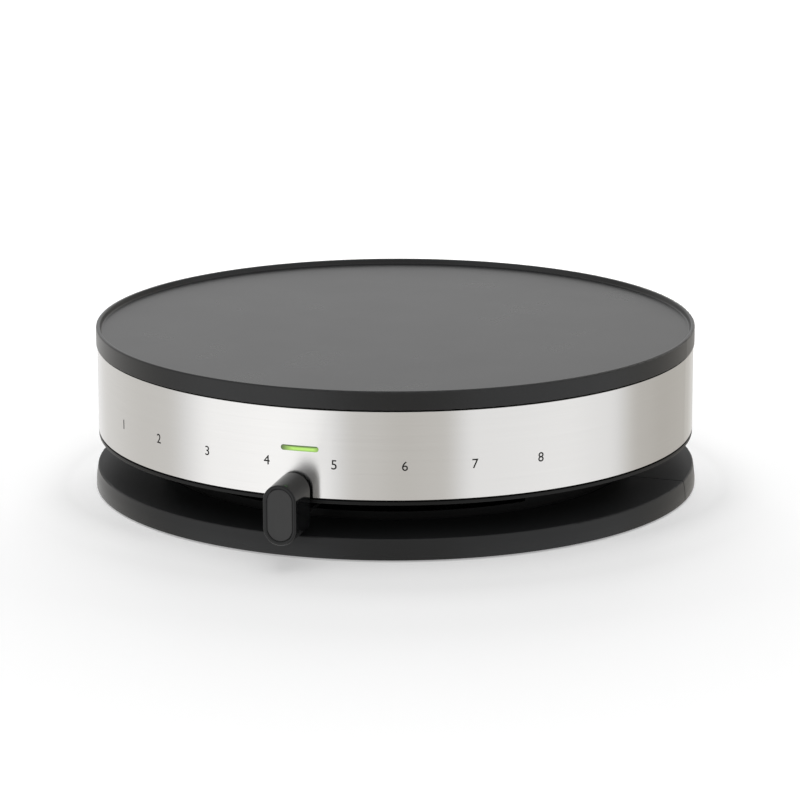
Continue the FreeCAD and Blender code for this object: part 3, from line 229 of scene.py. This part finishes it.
def coated_plate(nodes):
    """Non-stick coating over a cast plate: near black, with a soft sheen, grained on its side."""
    place = nodes.place()
    grain = nodes.noise(place, 1900.0, 3.0, 0.6)
    clouds = nodes.noise(place, 22.0, 3.0, 0.5)
    colour = nodes.between(clouds, grey(0.0080, -0.04), grey(0.0105, -0.04))
    upright = 1.0 - nodes.facing_up()
    speckle = nodes.contrast(grain, 0.56, 0.74) * (upright * 0.6)
    colour = nodes.between(speckle, colour, grey(0.030, -0.04))
    return {"Base Color": colour, "Roughness": 0.26 + clouds * 0.04,
            "Specular IOR Level": 0.38, "Normal": nodes.bump(grain, 0.00005, upright * 0.5)}


def moulded_black(level, roughness, grain_size, grain_depth, gloss, coolness=0.04, dull_top=0.0):
    """Black plastic with the fine grain of its mould, rougher by dull_top where it faces up."""
    def look(nodes):
        place = nodes.place()
        grain = nodes.noise(place, 1.0 / grain_size, 2.0, 0.5)
        wear = nodes.noise(place, 16.0, 4.0, 0.55)
        darker = grey(level * 0.88, -coolness)
        lighter = grey(level * 1.12, -coolness)
        return {"Base Color": nodes.between(nodes.contrast(wear, 0.3, 0.7), darker, lighter),
                "Roughness": roughness + wear * 0.06 + nodes.facing_up() * dull_top,
                "Specular IOR Level": gloss, "Normal": nodes.bump(grain, grain_depth, 0.5)}
    return look


def lit_lens(nodes):
    """Green lens lit from behind: lime in the middle; painted shade of the window it is set back
    in darkens its ends, its upper edge and a thin line at its bottom.
    """
    across, _, up = nodes.parts_of(nodes.place())
    low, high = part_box("indicator_lens")
    half_width = (high.x - low.x) / 2
    middle_z = (high.z + low.z) / 2
    along = across * (1.0 / half_width)
    height = nodes.contrast(up, middle_z - LENS_HALF_HEIGHT, middle_z + LENS_HALF_HEIGHT)
    # Painted shade: the rim of the window round the set-back lens darkens its ends, its upper edge
    # and its bottom
    left_end = nodes.contrast(along, -0.30, -0.85)
    right_end = nodes.contrast(along, 0.60, 0.95)
    edge = nodes.contrast(height, 0.58, 0.86)
    painted_shade = nodes.maths("MAXIMUM", left_end * 0.92, edge * 0.90)
    painted_shade = nodes.maths("MAXIMUM", painted_shade, right_end * 0.70)
    painted_shade = nodes.maths("MAXIMUM", painted_shade, nodes.contrast(height, 0.28, 0.05) * 0.45)
    glow = 1.0 - painted_shade
    # The painted shade darkens the lens's own colour and its light alike
    body = nodes.between(glow, rgb(0.030, 0.050, 0.014), rgb(0.40, 0.76, 0.12))
    light = nodes.between(glow, rgb(0.004, 0.010, 0.001), rgb(0.62, 0.95, 0.22))
    return {"Base Color": body, "Roughness": 0.20, "Emission Color": light,
            "Emission Strength": 0.35, "Coat Weight": 0.3, "Coat Roughness": 0.1}


def clear_lamp(nodes):
    cloud = nodes.noise(nodes.place(), 300.0)
    return {"Base Color": nodes.between(cloud, rgb(0.60, 0.86, 0.62), rgb(0.80, 0.95, 0.80)),
            "Roughness": 0.12 + cloud * 0.08, "Transmission Weight": 0.6,
            "Emission Color": rgb(0.25, 0.9, 0.2), "Emission Strength": 0.6}


def plated_steel(nodes):
    """Zinc-plated steel, faintly mottled."""
    mottle = nodes.noise(nodes.place(), 420.0, 4.0, 0.6)
    colour = nodes.between(mottle, rgb(0.50, 0.50, 0.49), rgb(0.66, 0.66, 0.64))
    return {"Base Color": colour, "Metallic": 1.0, "Roughness": 0.26 + mottle * 0.18,
            "Normal": nodes.bump(mottle, 0.00003, 0.3)}


def blackened_steel(nodes):
    mottle = nodes.noise(nodes.place(), 260.0, 4.0, 0.6)
    colour = nodes.between(mottle, grey(0.030), grey(0.055))
    return {"Base Color": colour, "Metallic": 0.85, "Roughness": 0.38 + mottle * 0.16,
            "Normal": nodes.bump(mottle, 0.00003, 0.3)}


def polished_sheet(nodes):
    """Rolled aluminised sheet: bright, with rolling lines one way."""
    lines = nodes.noise(nodes.stretched(nodes.place(), (900, 12, 12)), 1.0, 3.0, 0.6)
    colour = nodes.between(lines, rgb(0.70, 0.71, 0.72), rgb(0.84, 0.84, 0.84))
    return {"Base Color": colour, "Metallic": 1.0, "Roughness": 0.18 + lines * 0.14,
            "Normal": nodes.bump(lines, 0.00002, 0.25)}


def heated_sheath(nodes):
    """Element sheath gone brown and grey with heat."""
    place = nodes.place()
    tint = nodes.noise(place, 26.0, 4.0, 0.6)
    fine = nodes.noise(place, 900.0, 2.0, 0.5)
    browned, greyed = rgb(0.085, 0.075, 0.068), rgb(0.19, 0.165, 0.14)
    colour = nodes.between(nodes.contrast(tint, 0.35, 0.65), browned, greyed)
    return {"Base Color": colour, "Metallic": 0.8, "Roughness": 0.42 + fine * 0.18,
            "Normal": nodes.bump(fine, 0.00004, 0.4)}


def drawn_brass(nodes):
    mottle = nodes.noise(nodes.place(), 500.0, 3.0, 0.5)
    colour = nodes.between(mottle, rgb(0.60, 0.42, 0.16), rgb(0.78, 0.58, 0.26))
    return {"Base Color": colour, "Metallic": 1.0, "Roughness": 0.28 + mottle * 0.15}


def soft_rubber(nodes):
    grain = nodes.noise(nodes.place(), 1500.0, 3.0, 0.6)
    colour = nodes.between(grain, grey(0.012), grey(0.022))
    return {"Base Color": colour, "Roughness": 0.68 + grain * 0.14,
            "Normal": nodes.bump(grain, 0.00008, 0.5)}


def speckled_ceramic(nodes):
    speckle = nodes.noise(nodes.place(), 700.0, 4.0, 0.6)
    plain, speckled = rgb(0.76, 0.74, 0.69), rgb(0.62, 0.59, 0.53)
    return {"Base Color": nodes.between(nodes.contrast(speckle, 0.45, 0.75), plain, speckled),
            "Roughness": 0.34 + speckle * 0.2, "Normal": nodes.bump(speckle, 0.00004, 0.4)}


def pale_moulding(level):
    def look(nodes):
        grain = nodes.noise(nodes.place(), 1100.0, 3.0, 0.5)
        colour = nodes.between(grain, grey(level * 0.94, 0.01), grey(level * 1.04, 0.01))
        return {"Base Color": colour, "Roughness": 0.38 + grain * 0.12,
                "Normal": nodes.bump(grain, 0.00003, 0.4)}
    return look


def glass_braid(nodes):
    """Woven sleeve, as two crossed sets of fine waves."""
    place = nodes.place()
    weave = nodes.waves(place, 420.0, 0.4) * nodes.waves(
        nodes.stretched(place, (-1, 1, 1)), 420.0, 0.4)
    colour = nodes.between(weave, rgb(0.50, 0.47, 0.40), rgb(0.80, 0.77, 0.70))
    return {"Base Color": colour, "Roughness": 0.72 + weave * 0.1,
            "Normal": nodes.bump(weave, 0.0001, 0.6)}


def sheathed_wire(colour, stripe=None):
    """Lead insulation with a slight unevenness, and a second colour on an earth lead."""
    def look(nodes):
        place = nodes.place()
        uneven = nodes.noise(place, 380.0, 3.0, 0.5)
        darker = rgb(*(channel * 0.8 for channel in colour))
        shade = nodes.between(uneven, darker, rgb(*colour))
        if stripe:
            bands = nodes.contrast(nodes.waves(place, 60.0, 0.0), 0.45, 0.55)
            shade = nodes.between(bands, shade, rgb(*stripe))
        return {"Base Color": shade, "Roughness": 0.36 + uneven * 0.16,
                "Normal": nodes.bump(uneven, 0.00005, 0.4)}
    return look


def printed_ink(nodes):
    """Screen-printed ink, slightly uneven in its cover."""
    cover = nodes.noise(nodes.place(), 2200.0, 3.0, 0.6)
    colour = nodes.between(cover, grey(0.006), grey(0.014))
    return {"Base Color": colour, "Roughness": 0.55 + cover * 0.12, "Specular IOR Level": 0.2}


# The finish of each material slot
LOOKS = {
    "plate_coating": coated_plate,
    "element_sheath": heated_sheath,
    "plated_steel": plated_steel,
    "black_steel": blackened_steel,
    "reflector_sheet": polished_sheet,
    "band_steel": brushed_band,
    "housing_plastic": moulded_black(0.003, 0.34, 0.0007, 0.00003, 0.22),
    "base_plastic": moulded_black(0.015, 0.236, 0.0008, 0.00002, 0.307, dull_top=0.24),
    "knob_plastic": moulded_black(0.008, 0.12, 0.0006, 0.000004, 0.28),
    "knob_face": moulded_black(0.026, 0.36, 0.0005, 0.00003, 0.4, 0.0),
    "lens_green": lit_lens,
    "lamp_glass": clear_lamp,
    "rubber_black": soft_rubber,
    "ceramic_white": speckled_ceramic,
    "brass": drawn_brass,
    "block_plastic": pale_moulding(0.70),
    "sleeve_glass_fibre": glass_braid,
    "lead_brown": sheathed_wire((0.16, 0.055, 0.022)),
    "lead_blue": sheathed_wire((0.03, 0.12, 0.42)),
    "lead_earth": sheathed_wire((0.10, 0.34, 0.06), (0.72, 0.60, 0.06)),
    "lead_black": sheathed_wire((0.02, 0.02, 0.02)),
    "lead_white": sheathed_wire((0.72, 0.72, 0.70)),
    "runner_plastic": pale_moulding(0.55),
}


def dress_nodes(nodes):
    """Gives each CAD node the finish that its material slot names."""
    finishes = {}
    for node in nodes.values():
        for slot in node.material_slots:
            name = slot.material.name.split(".")[0]
            if name not in finishes:
                finishes[name] = finish(name + "_finish", LOOKS[name])
            slot.material = finishes[name]


def join_scene(name, data):
    """An object with this mesh, curve, lamp or camera data, linked to the scene."""
    piece = bpy.data.objects.new(name, data)
    bpy.context.scene.collection.objects.link(piece)
    return piece


def numeral_mesh(digit):
    """The digit as a thin closed solid, centred, as tall as the printed numerals."""
    curve = bpy.data.curves.new("digit", "FONT")
    curve.body = digit
    curve.extrude = DIGIT_EXTRUSION
    curve.bevel_depth = DIGIT_BOLDNESS
    curve.bevel_resolution = 0
    curve.resolution_u = DIGIT_CURVE_STEPS
    text = join_scene("digit", curve)
    mesh = bpy.data.meshes.new_from_object(text)
    bpy.data.objects.remove(text)
    low = [min(vertex.co[axis] for vertex in mesh.vertices) for axis in range(3)]
    high = [max(vertex.co[axis] for vertex in mesh.vertices) for axis in range(3)]
    scale = NUMERAL_HEIGHT / (high[1] - low[1])
    for vertex in mesh.vertices:
        vertex.co.x = (vertex.co.x - (low[0] + high[0]) / 2) * scale
        vertex.co.y = (vertex.co.y - (low[1] + high[1]) / 2) * scale
        vertex.co.z = (vertex.co.z - high[2]) / (high[2] - low[2]) * NUMERAL_DEPTH
    return mesh


def scale_numerals():
    """The numbers 1 to 8, bent round the band at even steps on both sides of the indicator."""
    low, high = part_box("trim_band")
    band_radius = (high.x - low.x) / 2
    print_radius = band_radius + NUMERAL_PROUD
    shape = bmesh.new()
    for count, digit in enumerate(NUMERALS):
        turn = (count - (len(NUMERALS) - 1) / 2) * NUMERAL_STEP
        mesh = numeral_mesh(digit)
        for vertex in mesh.vertices:
            angle = turn + vertex.co.x / print_radius
            radius = print_radius + vertex.co.z
            vertex.co = Vector((radius * math.sin(angle), -radius * math.cos(angle),
                                NUMERAL_CENTRE_Z + vertex.co.y))
        shape.from_mesh(mesh)
        bpy.data.meshes.remove(mesh)
    bmesh.ops.remove_doubles(shape, verts=shape.verts, dist=MERGE_DISTANCE)
    bmesh.ops.recalc_face_normals(shape, faces=shape.faces)
    printed = bpy.data.meshes.new("scale_numerals")
    shape.to_mesh(printed)
    shape.free()
    printed.materials.append(finish("scale_ink", printed_ink))
    piece = join_scene("scale_numerals", printed)
    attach(piece, "appliance")


def photo_camera():
    """Camera at the photograph's place; its roll is the photo's own slight tilt."""
    right = Vector((math.cos(CAMERA_AZIMUTH), math.sin(CAMERA_AZIMUTH), 0))
    back = Vector((math.sin(CAMERA_AZIMUTH) * math.cos(CAMERA_ELEVATION),
                   -math.cos(CAMERA_AZIMUTH) * math.cos(CAMERA_ELEVATION),
                   math.sin(CAMERA_ELEVATION)))
    data = bpy.data.cameras.new("photo_camera")
    data.lens = LENS_MM
    data.sensor_width = SENSOR_MM
    data.clip_end = CLIP_END
    camera = join_scene("photo_camera", data)
    camera.location = Vector((0, 0, AIM_HEIGHT)) + right * AIM_RIGHT + back * CAMERA_DISTANCE
    camera.rotation_mode = "QUATERNION"
    camera.rotation_quaternion = back.to_track_quat("Z", "Y") @ Quaternion((0, 0, 1), CAMERA_ROLL)
    bpy.context.scene.camera = camera


def studio_world():
    """White to the camera, soft boxes all round in reflections, and an even soft light."""
    world = bpy.data.worlds.new("studio")
    world.use_nodes = True
    nodes = Nodes(world.node_tree)
    x, y, z = nodes.parts_of(nodes.node("ShaderNodeTexCoord", output="Generated"))
    sine = math.sin(CAMERA_AZIMUTH)
    cosine = math.cos(CAMERA_AZIMUTH)
    turn = nodes.maths("ARCTAN2", x * cosine + y * sine, x * sine - y * cosine)
    stops = [((angle + 180) / 360, grey(level / STUDIO_PEAK)) for angle, level in STUDIO_ZONES]
    whole_turn = turn * (0.5 / math.pi) + 0.5
    zones = nodes.node("ShaderNodeValToRGB", {"stops": stops}, {"Fac": whole_turn})
    zones.output.node.color_ramp.interpolation = "EASE"
    shade = nodes.contrast(zones, *(level / STUDIO_PEAK for level in SHADE_LEVELS))
    zones = nodes.node("ShaderNodeMix", {"data_type": "RGBA", "blend_type": "MULTIPLY"}, {
        0: shade, 6: zones, 7: SHADE_TINT}, output=2)
    air = nodes.contrast(z, *AIR_RISE) * AIR_SHARE
    zones = nodes.between(air, zones, grey(AIR_LEVEL / STUDIO_PEAK))
    ceiling = nodes.contrast(z, *CEILING_RISE)
    seen_in_gloss = nodes.between(ceiling, zones, grey(CEILING_LEVEL / STUDIO_PEAK))
    camera = nodes.node("ShaderNodeLightPath", output="Is Camera Ray")
    outputs = camera.output.node.outputs
    glossy = Socket(nodes, outputs["Is Glossy Ray"])
    through = Socket(nodes, outputs["Is Transmission Ray"])
    soft = nodes.background(grey(1.0), WORLD_SOFT_LEVEL)
    gloss = nodes.background(seen_in_gloss, STUDIO_PEAK)
    white = nodes.background(grey(1.0), 1.0)
    lit = nodes.node("ShaderNodeMixShader", sockets={0: glossy, 1: soft, 2: gloss})
    direct = nodes.maths("MAXIMUM", camera, through)
    lit = nodes.node("ShaderNodeMixShader", sockets={0: direct, 1: lit, 2: white})
    nodes.node("ShaderNodeOutputWorld", sockets={"Surface": lit})
    bpy.context.scene.world = world


def studio_floor():
    """Pale floor that keeps the object's shadow and is white to the camera elsewhere."""
    shape = bmesh.new()
    bmesh.ops.create_grid(shape, x_segments=1, y_segments=1, size=FLOOR_SIZE / 2)
    mesh = bpy.data.meshes.new("studio_floor")
    shape.to_mesh(mesh)
    shape.free()
    material = bpy.data.materials.new("studio_floor")
    material.use_nodes = True
    nodes = Nodes(material.node_tree)
    lit = nodes.node("ShaderNodeBsdfDiffuse", sockets={"Color": grey(FLOOR_GREY)})
    place = nodes.place()
    distance = nodes.node("ShaderNodeVectorMath", {"operation": "LENGTH"}, {0: place},
                          output="Value")
    across, along, _ = nodes.parts_of(place)
    forward = across * math.sin(CAMERA_AZIMUTH) - along * math.cos(CAMERA_AZIMUTH)
    ring = nodes.contrast(distance, *RING_FALL) * RING_LIFT
    front = nodes.contrast(distance, *FRONT_FALL) * nodes.contrast(forward, *FRONT_START)
    lift = nodes.maths("MAXIMUM", ring, front * FRONT_LIFT)
    far = nodes.contrast(distance, *GLOW_RISE)
    last = nodes.contrast(distance, *LAST_GLOW_RISE)
    level = far * (FAR_FLOOR_GLOW - FLOOR_GLOW) + last * LAST_GLOW + lift + FLOOR_GLOW
    seen = nodes.node("ShaderNodeLightPath", output="Is Camera Ray")
    glow = nodes.node("ShaderNodeEmission", sockets={"Color": grey(1.0), "Strength": seen * level})
    nodes.node("ShaderNodeOutputMaterial", sockets={
        "Surface": nodes.node("ShaderNodeAddShader", sockets={0: lit, 1: glow})})
    mesh.materials.append(material)
    floor = join_scene("studio_floor", mesh)
    floor.visible_glossy = False


def soft_box(name, place, size, watts):
    """A square lamp. Polished surfaces don't show it: they show the studio's zones instead."""
    data = bpy.data.lights.new(name, "AREA")
    data.shape = "SQUARE"
    data.size = size
    data.energy = watts
    lamp = join_scene(name, data)
    lamp.visible_glossy = False
    lamp.location = place
    lamp.rotation_mode = "QUATERNION"
    lamp.rotation_quaternion = (Vector(place) - LAMP_AIM).to_track_quat("Z", "Y")


photo_camera()
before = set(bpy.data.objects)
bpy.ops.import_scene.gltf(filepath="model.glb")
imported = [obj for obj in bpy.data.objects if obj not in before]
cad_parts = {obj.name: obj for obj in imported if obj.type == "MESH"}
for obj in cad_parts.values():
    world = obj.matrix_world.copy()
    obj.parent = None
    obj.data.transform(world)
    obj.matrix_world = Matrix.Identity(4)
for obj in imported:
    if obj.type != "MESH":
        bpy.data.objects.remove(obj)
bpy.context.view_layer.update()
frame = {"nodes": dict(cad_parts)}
dress_nodes(frame["nodes"])
# The photo shows no green glint on the knob
frame["nodes"]["indicator_lens"].visible_glossy = False
scale_numerals()
studio_world()
studio_floor()
for lamp in LAMPS:
    soft_box(*lamp)
bpy.context.scene.view_settings.view_transform = "Standard"
